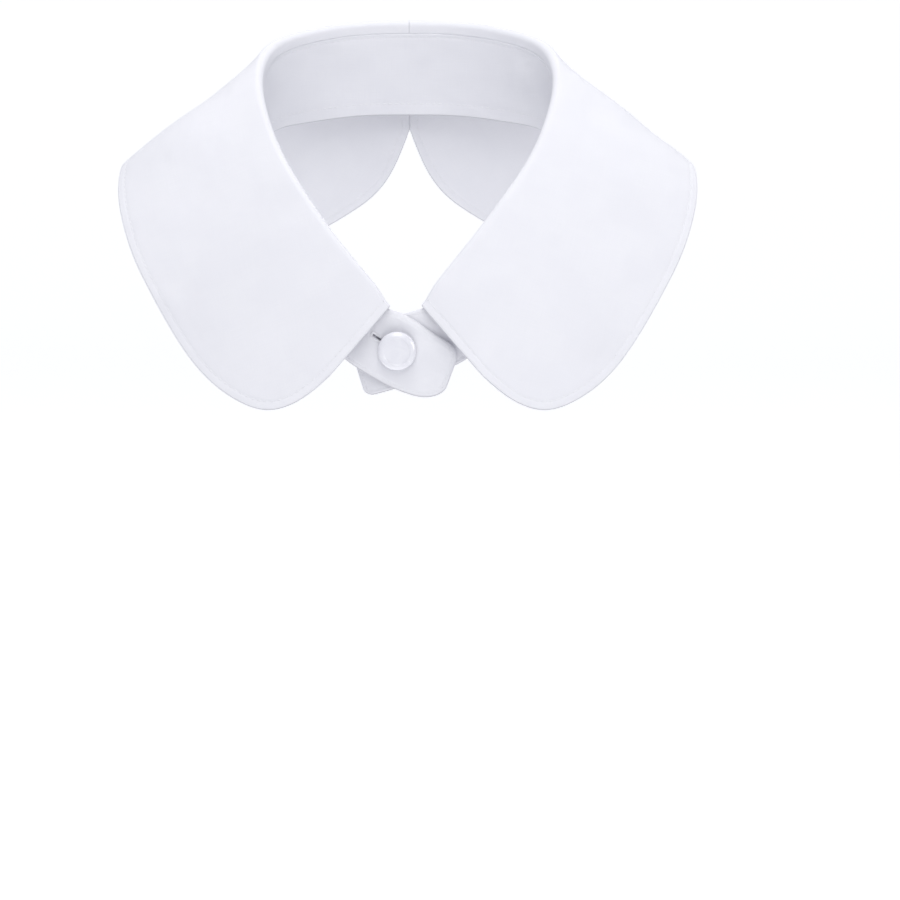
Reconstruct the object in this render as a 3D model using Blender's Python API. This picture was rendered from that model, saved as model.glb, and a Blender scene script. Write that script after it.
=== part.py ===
"""Detachable shirt collar with two rounded leaves, buttoned in front and filled out as it is when worn.

The tables are in millimetres and the meshes in metres. +Z is up, +Y is the back of the neck and -Y the
front. The origin is the middle of the neck, half way between the roll at the back and the tabs in front.
"""

import math
from collections import namedtuple

import bmesh
import bpy
import numpy as np

MM = 0.001

# Cloth, in millimetres.
LEAF_WALL = 1.3  # two plies with their interlining
STAND_WALL = 1.5
SEAM_GAP = 0.3
BACK_SLIT = 1.0  # between the leaves at the centre back
TAB_SPACING = 2.3  # wall middle to wall middle where the tabs overlap
STAND_LEAN = math.radians(1.5)  # the foot of the stand lies outside its top
FRAME_REACH = 9.0  # the walls' directions follow the roll line over this length each way

# The over tab is on the -X side and the under tab on the +X side; they pass in front of the throat.
OVER, UNDER = -1, 1

# One half of the roll line, from the centre back to the leaf's end. out is the distance from the middle
# plane, height how far the stand reaches below the line, seam how far below it the stand starts, and
# radius that of the roll, to the middle of the wall.
Roll = namedtuple("Roll", "out y z height seam radius")
ROLL_LINE = (
    Roll(0.0, 50.0, 81.0, 35.5, 4.2, 1.8),
    Roll(22.5, 46.0, 80.3, 35.2, 4.2, 1.8),
    Roll(41.0, 35.5, 77.3, 34.2, 4.2, 1.8),
    Roll(51.7, 21.0, 73.0, 32.6, 4.2, 1.8),
    Roll(55.7, 5.0, 64.1, 30.6, 4.0, 1.8),
    Roll(53.1, -11.0, 51.0, 28.8, 3.8, 1.8),
    Roll(45.9, -25.5, 35.6, 28.2, 3.7, 1.7),
    Roll(36.4, -38.5, 22.2, 28.0, 3.6, 1.6),
    Roll(25.4, -48.0, 8.4, 27.8, 3.3, 1.5),
    Roll(14.6, -54.2, -4.2, 27.2, 2.7, 1.3),
    Roll(9.8, -55.9, -10.1, 26.4, 2.2, 1.2),
    Roll(5.4, -56.7, -15.6, 25.4, 1.7, 1.2),
)
# The same line goes on as the top of each tab, past the middle plane to the other side.
OVER_TAB_LINE = (
    Roll(-0.5, -57.0, -19.2, 25.4, 0.4, 1.2),
    Roll(-8.4, -56.8, -24.3, 24.2, 0.3, 1.2),
    Roll(-17.0, -56.2, -29.5, 21.4, 0.3, 1.2),
    Roll(-26.0, -54.7, -34.7, 19.0, 0.3, 1.2),
)
UNDER_TAB_LINE = (
    Roll(-1.2, -57.0, -19.1, 23.4, 0.4, 1.2),
    Roll(-9.0, -56.1, -22.3, 23.4, 0.3, 1.2),
    Roll(-18.0, -53.4, -26.0, 22.8, 0.3, 1.2),
    Roll(-27.0, -48.9, -29.6, 22.0, 0.3, 1.2),
)
SPREAD_START, SPREAD_END = 120.0, 178.0  # where the two sides part to lie on each other, along the line

# The end of each tab. reach is how far its top runs past the leaf, slant how much further its foot runs
# for each millimetre down, and the corners are quarters of ellipses.
Tab = namedtuple("Tab", "reach slant top_length top_depth foot_length foot_depth")
OVER_TAB = Tab(29.5, 0.15, 5.0, 5.0, 9.5, 6.5)
UNDER_TAB = Tab(31.0, 0.0, 4.0, 4.0, 3.5, 3.0)

# The free edge of one leaf, from the slit at the centre back round the shoulder to its front edge.
# along is the place on the roll line that each row hangs from, up to LEAF_LENGTH, and crown is how much
# the leaf bows outwards, in degrees.
LEAF_LENGTH = 190.0
Edge = namedtuple("Edge", "along out y z crown")
LEAF_EDGE = (
    Edge(BACK_SLIT / 2, BACK_SLIT / 2, 56.0, 39.5, 3.0),
    Edge(4.0, 3.8, 58.0, 29.7, 3.0),
    Edge(9.0, 8.4, 59.5, 20.7, 3.0),
    Edge(17.0, 15.5, 61.0, 12.5, 3.0),
    Edge(25.0, 23.3, 62.0, 6.9, 3.0),
    Edge(33.0, 31.9, 62.5, 1.8, 3.0),
    Edge(44.0, 49.0, 61.0, -3.0, 3.0),
    Edge(54.0, 71.0, 54.0, 0.5, 4.0),
    Edge(63.0, 90.0, 40.0, 10.0, 5.0),
    Edge(70.0, 101.0, 24.0, 23.0, 6.0),
    Edge(77.0, 105.2, 7.0, 29.6, 6.0),
    Edge(86.0, 106.2, -9.0, 22.0, 6.0),
    Edge(96.0, 103.6, -20.0, 9.8, 6.0),
    Edge(106.0, 98.8, -28.0, -2.3, 6.0),
    Edge(116.0, 93.0, -35.0, -12.6, 6.0),
    Edge(130.0, 83.4, -44.0, -27.9, 6.0),
    Edge(143.0, 74.0, -51.5, -39.5, 6.0),
    Edge(157.0, 61.0, -58.5, -49.0, 5.0),
    Edge(168.0, 49.1, -62.0, -52.3, 4.0),
    Edge(180.0, 37.6, -63.5, -48.4, 3.0),
    Edge(LEAF_LENGTH, 27.0, -63.0, -39.9, 3.0),
)

# The button on the over tab: its place along the tab from the leaf's end and down from the roll line.
BUTTON_ALONG = 10.2
BUTTON_DOWN = 12.5
BUTTON_RADIUS = 6.9
BUTTON_FLAT_RADIUS = 4.9  # the flat middle of its face, inside the rounded rim
BUTTON_HEIGHT = 3.0
BUTTON_LIFT = 0.3  # between the tab and the button's back
RIM_HEIGHT = 1.0  # where the button is widest, above its back
BACK_RADIUS = 5.7  # the flat of its back
SHANK_RADIUS = 1.6

# The keyhole-shaped buttonhole: a round end for the shank and a slit that runs on towards the leaf.
HOLE_RADIUS = 2.1
SLIT_WIDTH = 1.2
SLIT_END = 10.5  # from the shank

# Mesh fineness.
LEAF_STATIONS = 54
ROLL_STEPS = 5
LEAF_ROWS = 9
HALF_STAND_STATIONS = 60
STAND_ROWS = 4
TAB_END_STATIONS = 7
BUTTON_SIDES = 32
RIM_STEPS = 4
HOLE_POINTS = 13

COTTON = (0.86, 0.86, 0.90, 1.0)
COTTON_ROUGHNESS = 0.85
PEARL = (0.93, 0.93, 0.95, 1.0)
PEARL_ROUGHNESS = 0.25
SHARP_ANGLE = math.radians(40)  # sharper edges than this stay sharp


def smooth_curve(knots, values):
    """A natural cubic through the values at the knots, as a function of one or many places."""
    t = np.asarray(knots, float)
    v = np.asarray(values, float).reshape(len(t), -1)
    h = np.diff(t)
    system = np.eye(len(t))
    right = np.zeros_like(v)
    for i in range(1, len(t) - 1):
        system[i, i - 1 : i + 2] = h[i - 1], 2 * (h[i - 1] + h[i]), h[i]
        right[i] = 6 * ((v[i + 1] - v[i]) / h[i] - (v[i] - v[i - 1]) / h[i - 1])
    bend = np.linalg.solve(system, right)

    def at(place):
        x = np.atleast_1d(np.asarray(place, float))
        i = np.clip(np.searchsorted(t, x) - 1, 0, len(t) - 2)
        a, b, w = (t[i + 1] - x)[:, None], (x - t[i])[:, None], h[i][:, None]
        cubic = (bend[i] * a**3 + bend[i + 1] * b**3) / (6 * w)
        return cubic + (v[i] / w - bend[i] * w / 6) * a + (v[i + 1] / w - bend[i + 1] * w / 6) * b

    return at


def unit(vectors):
    return vectors / np.linalg.norm(vectors, axis=-1, keepdims=True)


def smooth_step(x):
    x = np.clip(x, 0.0, 1.0)
    return x * x * (3 - 2 * x)


def chord_lengths(points):
    return np.concatenate([[0.0], np.cumsum(np.linalg.norm(np.diff(points, axis=0), axis=1))])


def roll_line():
    """The whole roll line, over tab to under tab, and the length from the centre back to a leaf's end."""
    under = np.array(ROLL_LINE + UNDER_TAB_LINE)
    over = np.array(ROLL_LINE + OVER_TAB_LINE)
    under_lengths, over_lengths = chord_lengths(under[:, :3]), chord_lengths(over[:, :3])
    over[:, 0] *= OVER
    places = np.concatenate([-over_lengths[:0:-1], under_lengths])
    return smooth_curve(places, np.vstack([over[:0:-1], under])), under_lengths[len(ROLL_LINE) - 1]


ROLL_AT, LEAF_END = roll_line()


def neck_frame(along):
    """Crest, outward normal, downward direction and the row's sizes at places along the roll line."""
    along = np.atleast_1d(np.asarray(along, float))
    row = ROLL_AT(along)
    tangent = unit((ROLL_AT(along + FRAME_REACH) - ROLL_AT(along - FRAME_REACH))[:, :3])
    outward = unit(np.stack([-tangent[:, 1], tangent[:, 0], np.zeros(len(along))], 1))
    down = unit(np.cross(outward, tangent))
    spread = smooth_step((np.abs(along) - SPREAD_START) / (SPREAD_END - SPREAD_START))
    lift = -np.sign(along) * spread * TAB_SPACING / 2
    sizes = Roll(*row.T)
    return row[:, :3] + outward * lift[:, None], outward, down, sizes


def stand_point(along, depth):
    """A point in the middle of the stand's wall, that far below the crest, and the wall's outward normal."""
    crest, outward, down, sizes = neck_frame(along)
    depth = np.atleast_1d(depth)[:, None]
    slope = down * math.cos(STAND_LEAN) + outward * math.sin(STAND_LEAN)
    return crest - outward * sizes.radius[:, None] + slope * depth, outward


def corner_inset(distance, length, depth):
    """How far a rounded corner cuts in, at a distance from the end."""
    near = np.clip(1 - distance / length, 0.0, 1.0)
    return depth * (1 - np.sqrt(1 - near**2))


def half_stand(side, tab):
    """Middle surface of one half of the stand, from the centre back to the end of its tab."""
    end = LEAF_END + tab.reach
    corner = max(tab.top_length, tab.foot_length)
    turn = np.linspace(0, math.pi / 2, TAB_END_STATIONS)
    ends = end - corner * (1 - np.sin(turn))
    stations = np.concatenate([np.linspace(0, end - corner, HALF_STAND_STATIONS)[:-1], ends])
    _, _, _, sizes = neck_frame(side * stations)
    from_end = end - stations
    top = sizes.seam + corner_inset(from_end, tab.top_length, tab.top_depth)
    foot = sizes.height - corner_inset(from_end, tab.foot_length, tab.foot_depth)
    slant = tab.slant * smooth_step((stations - LEAF_END) / tab.reach)
    grid = np.empty((len(stations), STAND_ROWS + 1, 3))
    for j, share in enumerate(np.linspace(0, 1, STAND_ROWS + 1)):
        depth = top + (foot - top) * share
        grid[:, j], _ = stand_point(side * (stations + slant * depth), depth)
    return grid


def stand_grid():
    """Middle surface of the whole stand, from the over tab to the under tab."""
    return np.concatenate([half_stand(OVER, OVER_TAB)[:0:-1], half_stand(UNDER, UNDER_TAB)])


def leaf_grid(side):
    """Middle surface of a leaf: from its seam above the stand, over the roll and out to the free edge."""
    table = np.array(LEAF_EDGE)
    lengths = chord_lengths(table[:, 1:4])
    edge = smooth_curve(lengths, table)(np.linspace(0, lengths[-1], LEAF_STATIONS))
    along = edge[:, 0] * LEAF_END / LEAF_LENGTH
    end = edge[:, 1:4] * (side, 1, 1)
    crown = np.radians(edge[:, 4])[:, None]
    crest, outward, down, sizes = neck_frame(side * along)
    radius = sizes.radius[:, None]
    centre = crest + down * radius
    reach = end - centre
    fall = np.arctan2((reach * outward).sum(1), (reach * down).sum(1))[:, None] + crown
    rows = [crest - outward * radius + down * (sizes.seam - SEAM_GAP)[:, None]]
    for share in np.linspace(0, 1, ROLL_STEPS + 1):
        turn = share * (math.pi - fall)
        rows.append(centre - radius * (np.cos(turn) * outward + np.sin(turn) * down))
    start = rows[-1]
    straight = end - start
    length = np.linalg.norm(straight, axis=1, keepdims=True)
    heading = straight / length
    face = unit(outward - (outward * heading).sum(1)[:, None] * heading)
    leave = np.cos(crown) * heading + np.sin(crown) * face
    arrive = np.cos(crown) * heading - np.sin(crown) * face
    first, second = start + leave * length / 3, end - arrive * length / 3
    for share in np.linspace(0, 1, LEAF_ROWS + 1)[1:]:
        rest = 1 - share
        rows.append(
            rest**3 * start + 3 * rest**2 * share * first + 3 * rest * share**2 * second + share**3 * end
        )
    return np.stack(rows, 1)


def grid_normals(grid, outward):
    """Unit normals of a grid of points, turned to the side where outward says."""
    normals = unit(np.cross(np.gradient(grid, axis=0), np.gradient(grid, axis=1)))
    if (normals[len(normals) // 2, 0] * outward).sum() < 0:
        normals = -normals
    return normals


def walled_mesh(name, grid, normals, wall):
    """A closed wall of even thickness round a grid of middle points."""
    stations, rows = grid.shape[:2]
    outer, inner = grid + normals * wall / 2, grid - normals * wall / 2
    points = np.concatenate([outer.reshape(-1, 3), inner.reshape(-1, 3)]) * MM
    count = stations * rows

    def index(i, j, layer):
        return layer * count + i * rows + j

    faces = []
    for i in range(stations - 1):
        for j in range(rows - 1):
            quad = ((i, j), (i + 1, j), (i + 1, j + 1), (i, j + 1))
            faces.append([index(a, b, 0) for a, b in quad])
            faces.append([index(a, b, 1) for a, b in reversed(quad)])
    rim = [(i, 0) for i in range(stations)]
    rim += [(stations - 1, j) for j in range(1, rows)]
    rim += [(i, rows - 1) for i in range(stations - 2, -1, -1)]
    rim += [(0, j) for j in range(rows - 2, 0, -1)]
    for (a, b), (c, d) in zip(rim, rim[1:] + rim[:1]):
        faces.append([index(a, b, 1), index(c, d, 1), index(c, d, 0), index(a, b, 0)])
    mesh = bpy.data.meshes.new(name)
    mesh.from_pydata(points.tolist(), [], faces)
    clean = bmesh.new()
    clean.from_mesh(mesh)
    bmesh.ops.recalc_face_normals(clean, faces=clean.faces)
    clean.to_mesh(mesh)
    clean.free()
    return mesh


def plain_material(name, colour, roughness):
    """A Principled material with one colour and roughness."""
    material = bpy.data.materials.new(name)
    material.use_nodes = True
    shader = material.node_tree.nodes["Principled BSDF"]
    shader.inputs["Base Color"].default_value = colour
    shader.inputs["Roughness"].default_value = roughness
    shader.inputs["Metallic"].default_value = 0.0
    return material


def place(name, mesh, material):
    """A named object with its material and smooth shading over its gentle edges."""
    mesh.materials.append(material)
    mesh.shade_smooth()
    mesh.set_sharp_from_angle(angle=SHARP_ANGLE)
    made = bpy.data.objects.new(name, mesh)
    bpy.context.scene.collection.objects.link(made)
    return made


def button_frame():
    """Where the button sits: a point on the over tab's outer face and the three directions there."""
    along = OVER * (LEAF_END + BUTTON_ALONG)
    middle, outward = stand_point(along, BUTTON_DOWN)
    further, _ = stand_point(along - 1.0, BUTTON_DOWN)
    strip = unit(further - middle)[0]
    normal = outward[0] - strip * (outward[0] @ strip)
    normal = normal / np.linalg.norm(normal)
    return middle[0] + normal * STAND_WALL / 2, normal, strip


def turned_mesh(name, profile, base, axis, aside):
    """A solid of revolution: radius and height pairs, bottom to top, about an axis through the base."""
    spin = bmesh.new()
    line = [
        spin.verts.new((base + aside * radius + axis * height) * MM) for radius, height in profile
    ]
    edges = [spin.edges.new(pair) for pair in zip(line, line[1:])]
    bmesh.ops.spin(
        spin,
        geom=line + edges,
        cent=tuple(base * MM),
        axis=tuple(axis),
        angle=2 * math.pi,
        steps=BUTTON_SIDES,
        use_merge=True,
    )
    bmesh.ops.remove_doubles(spin, verts=spin.verts, dist=1e-6)
    bmesh.ops.recalc_face_normals(spin, faces=spin.faces)
    mesh = bpy.data.meshes.new(name)
    spin.to_mesh(mesh)
    spin.free()
    return mesh


def make_leaf(name, side, material):
    """One leaf. The side that shows faces the neck where it hangs from the stand."""
    grid = leaf_grid(side)
    _, outward, _, _ = neck_frame(side * LEAF_END / 2)
    normals = grid_normals(grid, -outward[0])
    return place(name, walled_mesh(name, grid, normals, LEAF_WALL), material)


def make_stand(material):
    """The stand with both tabs, one strip round the neck."""
    grid = stand_grid()
    backward = np.array([0.0, 1.0, 0.0])
    normals = grid_normals(grid, backward)
    return place("stand", walled_mesh("stand", grid, normals, STAND_WALL), material)


def keyhole_outline():
    """The buttonhole's outline in the tab's plane: places along the tab and across it, about the shank."""
    half = SLIT_WIDTH / 2
    mouth = math.asin(half / HOLE_RADIUS)
    turns = np.linspace(math.pi - mouth, mouth - math.pi, HOLE_POINTS)
    ring = [(HOLE_RADIUS * math.cos(turn), HOLE_RADIUS * math.sin(turn)) for turn in turns]
    return ring + [(-SLIT_END, -half), (-SLIT_END, half)]


def cut_buttonhole(stand):
    """Cuts the keyhole through the over tab, from in front of it to half way to the under tab."""
    face, normal, strip = button_frame()
    across = np.cross(normal, strip)
    back = -STAND_WALL - (TAB_SPACING - STAND_WALL) / 2
    front = STAND_WALL
    cutter = bmesh.new()
    ring = [face + strip * x + across * y for x, y in keyhole_outline()]
    low = [cutter.verts.new((spot + normal * back) * MM) for spot in ring]
    high = [cutter.verts.new((spot + normal * front) * MM) for spot in ring]
    cutter.faces.new(low)
    cutter.faces.new(high)
    for a, b, c, d in zip(low, low[1:] + low[:1], high[1:] + high[:1], high):
        cutter.faces.new((a, b, c, d))
    bmesh.ops.recalc_face_normals(cutter, faces=cutter.faces)
    mesh = bpy.data.meshes.new("buttonhole_cutter")
    cutter.to_mesh(mesh)
    cutter.free()
    tool = bpy.data.objects.new("buttonhole_cutter", mesh)
    tool.hide_render = True
    tool.display_type = "WIRE"
    bpy.context.scene.collection.objects.link(tool)
    cut = stand.modifiers.new("buttonhole", "BOOLEAN")
    cut.operation = "DIFFERENCE"
    cut.solver = "EXACT"
    cut.object = tool


def make_button(material):
    """A round cap with a flat face and a rounded rim, on a shank that ends just above the under tab."""
    face, normal, strip = button_frame()
    shank_foot = SEAM_GAP - TAB_SPACING
    rim = BUTTON_LIFT + RIM_HEIGHT
    profile = [(0.0, shank_foot), (SHANK_RADIUS, shank_foot), (SHANK_RADIUS, BUTTON_LIFT)]
    profile += [(BACK_RADIUS, BUTTON_LIFT), (BUTTON_RADIUS, rim)]
    for turn in np.linspace(0, math.pi / 2, RIM_STEPS + 1)[1:]:
        radius = BUTTON_FLAT_RADIUS + (BUTTON_RADIUS - BUTTON_FLAT_RADIUS) * math.cos(turn)
        profile.append((radius, rim + (BUTTON_HEIGHT - RIM_HEIGHT) * math.sin(turn)))
    profile.append((0.0, BUTTON_LIFT + BUTTON_HEIGHT))
    return place("button", turned_mesh("button", profile, face, normal, strip), material)


def build():
    for old in list(bpy.data.objects):
        bpy.data.objects.remove(old)
    cotton = plain_material("cotton", COTTON, COTTON_ROUGHNESS)
    pearl = plain_material("pearl", PEARL, PEARL_ROUGHNESS)
    stand = make_stand(cotton)
    cut_buttonhole(stand)
    make_leaf("leaf_right", OVER, cotton)
    make_leaf("leaf_left", UNDER, cotton)
    make_button(pearl)


build()
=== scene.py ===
"""Looks of the detachable shirt collar: white cotton cloth, its seams and stitches, and a pearl button.

The tables and all sizes are in millimetres, and the meshes in metres. +Z is up, +Y is the back of the
neck and -Y the front. The tables of the roll line, the leaf's edge, the tabs and the button are the
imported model's own.
"""

import math
from collections import namedtuple

import bmesh
import bpy
import numpy as np
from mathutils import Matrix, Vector, noise
from mathutils.bvhtree import BVHTree
from mathutils.kdtree import KDTree


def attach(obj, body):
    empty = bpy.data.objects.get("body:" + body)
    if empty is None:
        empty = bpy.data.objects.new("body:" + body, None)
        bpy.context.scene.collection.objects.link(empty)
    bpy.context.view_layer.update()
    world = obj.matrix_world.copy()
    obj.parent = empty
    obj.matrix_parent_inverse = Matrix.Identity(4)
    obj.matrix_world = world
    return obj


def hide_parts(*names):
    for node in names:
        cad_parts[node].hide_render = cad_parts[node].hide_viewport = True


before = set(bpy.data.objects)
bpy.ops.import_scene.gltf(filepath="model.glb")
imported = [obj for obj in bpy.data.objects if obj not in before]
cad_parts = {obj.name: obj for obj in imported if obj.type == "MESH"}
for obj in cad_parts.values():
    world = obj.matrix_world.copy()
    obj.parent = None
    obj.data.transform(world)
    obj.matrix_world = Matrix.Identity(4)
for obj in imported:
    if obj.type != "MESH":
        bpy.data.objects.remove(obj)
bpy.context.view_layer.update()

MM = 0.001

# Cloth.
LEAF_WALL = 1.3
STAND_WALL = 1.5
SEAM_GAP = 0.3
SEAM_TUCK = 0.25  # the leaf and the stand run this far into each other at their seam
BACK_SLIT = 0.02
TAB_SPACING = 2.3
STAND_LEAN = math.radians(1.5)
FRAME_REACH = 9.0

# The over tab is on the -X side and the under tab on the +X side.
OVER, UNDER = -1, 1

# One half of the roll line, from the centre back to the leaf's end.
Roll = namedtuple("Roll", "out y z height seam radius")
ROLL_LINE = (
    Roll(0.0, 50.0, 81.0, 35.5, 4.2, 1.8),
    Roll(22.5, 46.0, 80.3, 35.2, 4.2, 1.8),
    Roll(41.0, 35.5, 77.3, 34.2, 4.2, 1.8),
    Roll(51.7, 21.0, 73.0, 32.6, 4.2, 1.8),
    Roll(55.7, 5.0, 64.1, 30.6, 4.0, 1.8),
    Roll(53.1, -11.0, 51.0, 28.8, 3.8, 1.8),
    Roll(45.9, -25.5, 35.6, 28.2, 3.7, 1.7),
    Roll(36.4, -38.5, 22.2, 28.0, 3.6, 1.6),
    Roll(25.4, -48.0, 8.4, 27.8, 3.3, 1.5),
    Roll(14.6, -54.2, -4.2, 27.2, 2.7, 1.3),
    Roll(9.8, -55.9, -10.1, 26.4, 2.2, 1.2),
    Roll(5.4, -56.7, -15.6, 25.4, 1.7, 1.2),
)
OVER_TAB_LINE = (
    Roll(-0.5, -57.0, -19.2, 25.4, 0.4, 1.2),
    Roll(-8.4, -56.8, -24.3, 24.2, 0.3, 1.2),
    Roll(-17.0, -56.2, -29.5, 21.4, 0.3, 1.2),
    Roll(-26.0, -54.7, -34.7, 19.0, 0.3, 1.2),
)
UNDER_TAB_LINE = (
    Roll(-1.2, -57.0, -19.1, 23.4, 0.4, 1.2),
    Roll(-9.0, -56.1, -22.3, 23.4, 0.3, 1.2),
    Roll(-18.0, -53.4, -26.0, 22.8, 0.3, 1.2),
    Roll(-27.0, -48.9, -29.6, 22.0, 0.3, 1.2),
)
SPREAD_START, SPREAD_END = 120.0, 178.0

Tab = namedtuple("Tab", "reach slant top_length top_depth foot_length foot_depth")
OVER_TAB = Tab(29.5, 0.15, 5.0, 5.0, 9.5, 6.5)
UNDER_TAB = Tab(31.0, 0.0, 4.0, 4.0, 3.5, 3.0)

# Where a leaf ends, its roll settles and the tab beside it stands up, so that the two run on in one line.
ROLL_SETTLES = 0.6
ROLL_SETTLE_LENGTH = 10.0
Rise = namedtuple("Rise", "height length")
TAB_RISES = {OVER: Rise(0.7, 9.0), UNDER: Rise(0.8, 16.0)}

# The free edge of one leaf, from the slit at the centre back round the shoulder to its front edge.
LEAF_LENGTH = 190.0
Edge = namedtuple("Edge", "along out y z crown")
LEAF_EDGE = (
    Edge(BACK_SLIT / 2, BACK_SLIT / 2, 56.0, 39.5, 3.0),
    Edge(4.0, 3.8, 58.0, 29.7, 3.0),
    Edge(9.0, 8.4, 59.5, 20.7, 3.0),
    Edge(17.0, 15.5, 61.0, 12.5, 3.0),
    Edge(25.0, 23.3, 62.0, 6.9, 3.0),
    Edge(33.0, 31.9, 62.5, 1.8, 3.0),
    Edge(44.0, 49.0, 61.0, -3.0, 3.0),
    Edge(54.0, 71.0, 54.0, 0.5, 4.0),
    Edge(63.0, 90.0, 40.0, 10.0, 5.0),
    Edge(70.0, 101.0, 24.0, 23.0, 6.0),
    Edge(77.0, 105.2, 7.0, 29.6, 6.0),
    Edge(86.0, 106.2, -9.0, 22.0, 6.0),
    Edge(96.0, 103.6, -20.0, 9.8, 6.0),
    Edge(106.0, 98.8, -28.0, -2.3, 6.0),
    Edge(116.0, 93.0, -35.0, -12.6, 6.0),
    Edge(130.0, 83.4, -44.0, -27.9, 6.0),
    Edge(143.0, 74.0, -51.5, -39.5, 6.0),
    Edge(157.0, 61.0, -58.5, -49.0, 5.0),
    Edge(168.0, 49.1, -62.0, -52.3, 4.0),
    Edge(180.0, 37.6, -63.5, -48.4, 3.0),
    Edge(LEAF_LENGTH, 27.0, -63.0, -39.9, 3.0),
)

# The button and its keyhole-shaped buttonhole.
BUTTON_ALONG = 10.2
BUTTON_DOWN = 12.5
BUTTON_RADIUS = 6.9
BUTTON_FLAT_RADIUS = 4.9
BUTTON_HEIGHT = 3.0
BUTTON_LIFT = 0.3
RIM_HEIGHT = 1.0
BACK_RADIUS = 5.7
FACE_DROP = 0.18  # the flat face lies this much below the crest of the rim
SHANK_RADIUS = 1.6
HOLE_RADIUS = 2.1
SLIT_WIDTH = 1.2
SLIT_END = 10.5

# Seams: how the turned edges are rounded, raised and pulled down by their stitches.
EDGE_ROUNDING = 0.6  # over this much of its edge a wall gets rounder
SLIT_ROUNDING = 0.08  # the same along the slit at the centre back, near the roll
TAB_ROUNDING = 1.7  # the same along the tops and ends of the tabs
CALM_RADIUS = 4.0
SEAM_ROUNDING = 0.3  # the same where the leaf is sewn to the stand
EDGE_PUFF = 0.03  # the turned edge stands this much prouder on each face
LEAF_STITCH_INSET = 3.0
STAND_TOP_INSET = 1.5
STAND_FOOT_INSET = 4.5
STITCH_DIP = 0.11
STITCH_DIP_WIDTH = 0.4
ALLOWANCE = 6.5  # width of the cloth folded in along a leaf's edge
ALLOWANCE_STEP = 0.05
PUCKER = 0.09
PUCKER_LENGTH = 3.2
PUCKER_WIDTH = 2.6
SWELL = 0.22  # slow unevenness of the pressed cloth
SWELL_LENGTH = 26.0

# Creases of the leaves. along is millimetres on the roll line from the centre back, down the share of the
# way from the roll to the free edge, at both ends; depth is negative for a trough.
Crease = namedtuple("Crease", "along_a down_a along_b down_b depth width")
LEAF_CREASES = {
    OVER: (
        Crease(176, 0.25, 160, 0.85, -0.35, 6.0),
        Crease(150, 0.10, 128, 0.80, 0.45, 9.0),
        Crease(128, 0.15, 104, 0.75, -0.40, 8.0),
        Crease(100, 0.20, 84, 0.90, 0.55, 8.0),
        Crease(82, 0.15, 72, 0.85, -0.60, 6.5),
        Crease(66, 0.25, 56, 0.90, 0.50, 7.0),
        Crease(44, 0.15, 36, 0.80, -0.45, 8.0),
        Crease(20, 0.20, 14, 0.85, 0.40, 8.0),
        Crease(139, 0.88, 122, 0.94, 0.30, 4.0),
    ),
    UNDER: (
        Crease(170, 0.15, 150, 0.90, 0.35, 8.0),
        Crease(142, 0.20, 122, 0.70, -0.40, 8.0),
        Crease(118, 0.25, 96, 0.90, 0.45, 9.0),
        Crease(92, 0.15, 79, 0.80, -0.60, 7.0),
        Crease(74, 0.30, 64, 0.90, 0.55, 6.5),
        Crease(52, 0.15, 45, 0.85, -0.45, 8.0),
        Crease(30, 0.20, 22, 0.75, 0.40, 9.0),
        Crease(160, 0.86, 146, 0.93, -0.25, 4.0),
    ),
}
# Creases of the stand: along is signed, over tab side negative, and down runs from its top to its foot.
STAND_CREASES = (
    Crease(-96, 0.15, -88, 0.85, -0.45, 5.0),
    Crease(-74, 0.10, -70, 0.90, 0.40, 6.0),
    Crease(-30, 0.15, -34, 0.85, 0.35, 9.0),
    Crease(-4, 0.20, 2, 0.80, -0.30, 8.0),
    Crease(28, 0.20, 24, 0.90, 0.35, 8.0),
    Crease(50, 0.10, 56, 0.75, -0.35, 6.0),
    Crease(82, 0.20, 76, 0.90, 0.40, 6.0),
    Crease(104, 0.10, 98, 0.80, -0.45, 5.0),
    Crease(-130, 0.20, -122, 0.80, 0.30, 7.0),
    Crease(138, 0.20, 128, 0.80, 0.30, 7.0),
)
# The pull of the button on the over tab, and the soft ridge from it towards the tab's end.
DIMPLE_DEPTH = 0.3
DIMPLE_RADIUS = 9.0
TAB_RIDGE_START, TAB_RIDGE_END = 3.5, 20.0
TAB_RIDGE_HEIGHT, TAB_RIDGE_WIDTH = 0.7, 4.5
TAB_CURL, TAB_CURL_WIDTH = 0.6, 2.4  # the over tab's edges turn back this much, over this width
TAB_SWELL = 0.16

# Thread and stitches.
STITCH_PITCH = 2.4
STITCH_LENGTH = 2.05
THREAD_RADIUS = 0.18
STITCH_RISE = 0.16
STITCH_SINK = 0.22
LINE_STEP = 0.4  # between the points of a line of stitches
CORNER_BLEND = 15  # so many of them turn together where an edge has a corner
PURL_PITCH = 0.31
PURL_LENGTH = 1.2
PURL_INSET = 0.45  # from the buttonhole's cut edge to the middle of its stitches

# Mesh fineness.
LEAF_STATIONS = 330
LEAF_ROWS = 62
ROLL_STEPS = 14
FALL_ROWS = 7
HALF_STAND_STATIONS = 190
TAB_END_STATIONS = 30
STAND_ROWS = 46
BUTTON_SIDES = 96
RIM_STEPS = 14
HOLE_POINTS = 33

# Camera, as the photograph was taken: metres and degrees.
CAMERA_PLACE = (0.01555, -1.25909, 0.12297)
CAMERA_PITCH = 81.0
CAMERA_LENS = 136.24

# Light. The floor glows a little, as a light table does, so that it stays paler than the cloth.
FLOOR_GLOW = 0.45
LAMP_COLOUR = (1.0, 0.99, 0.97)
AIR_STRENGTH = 0.575


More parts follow.
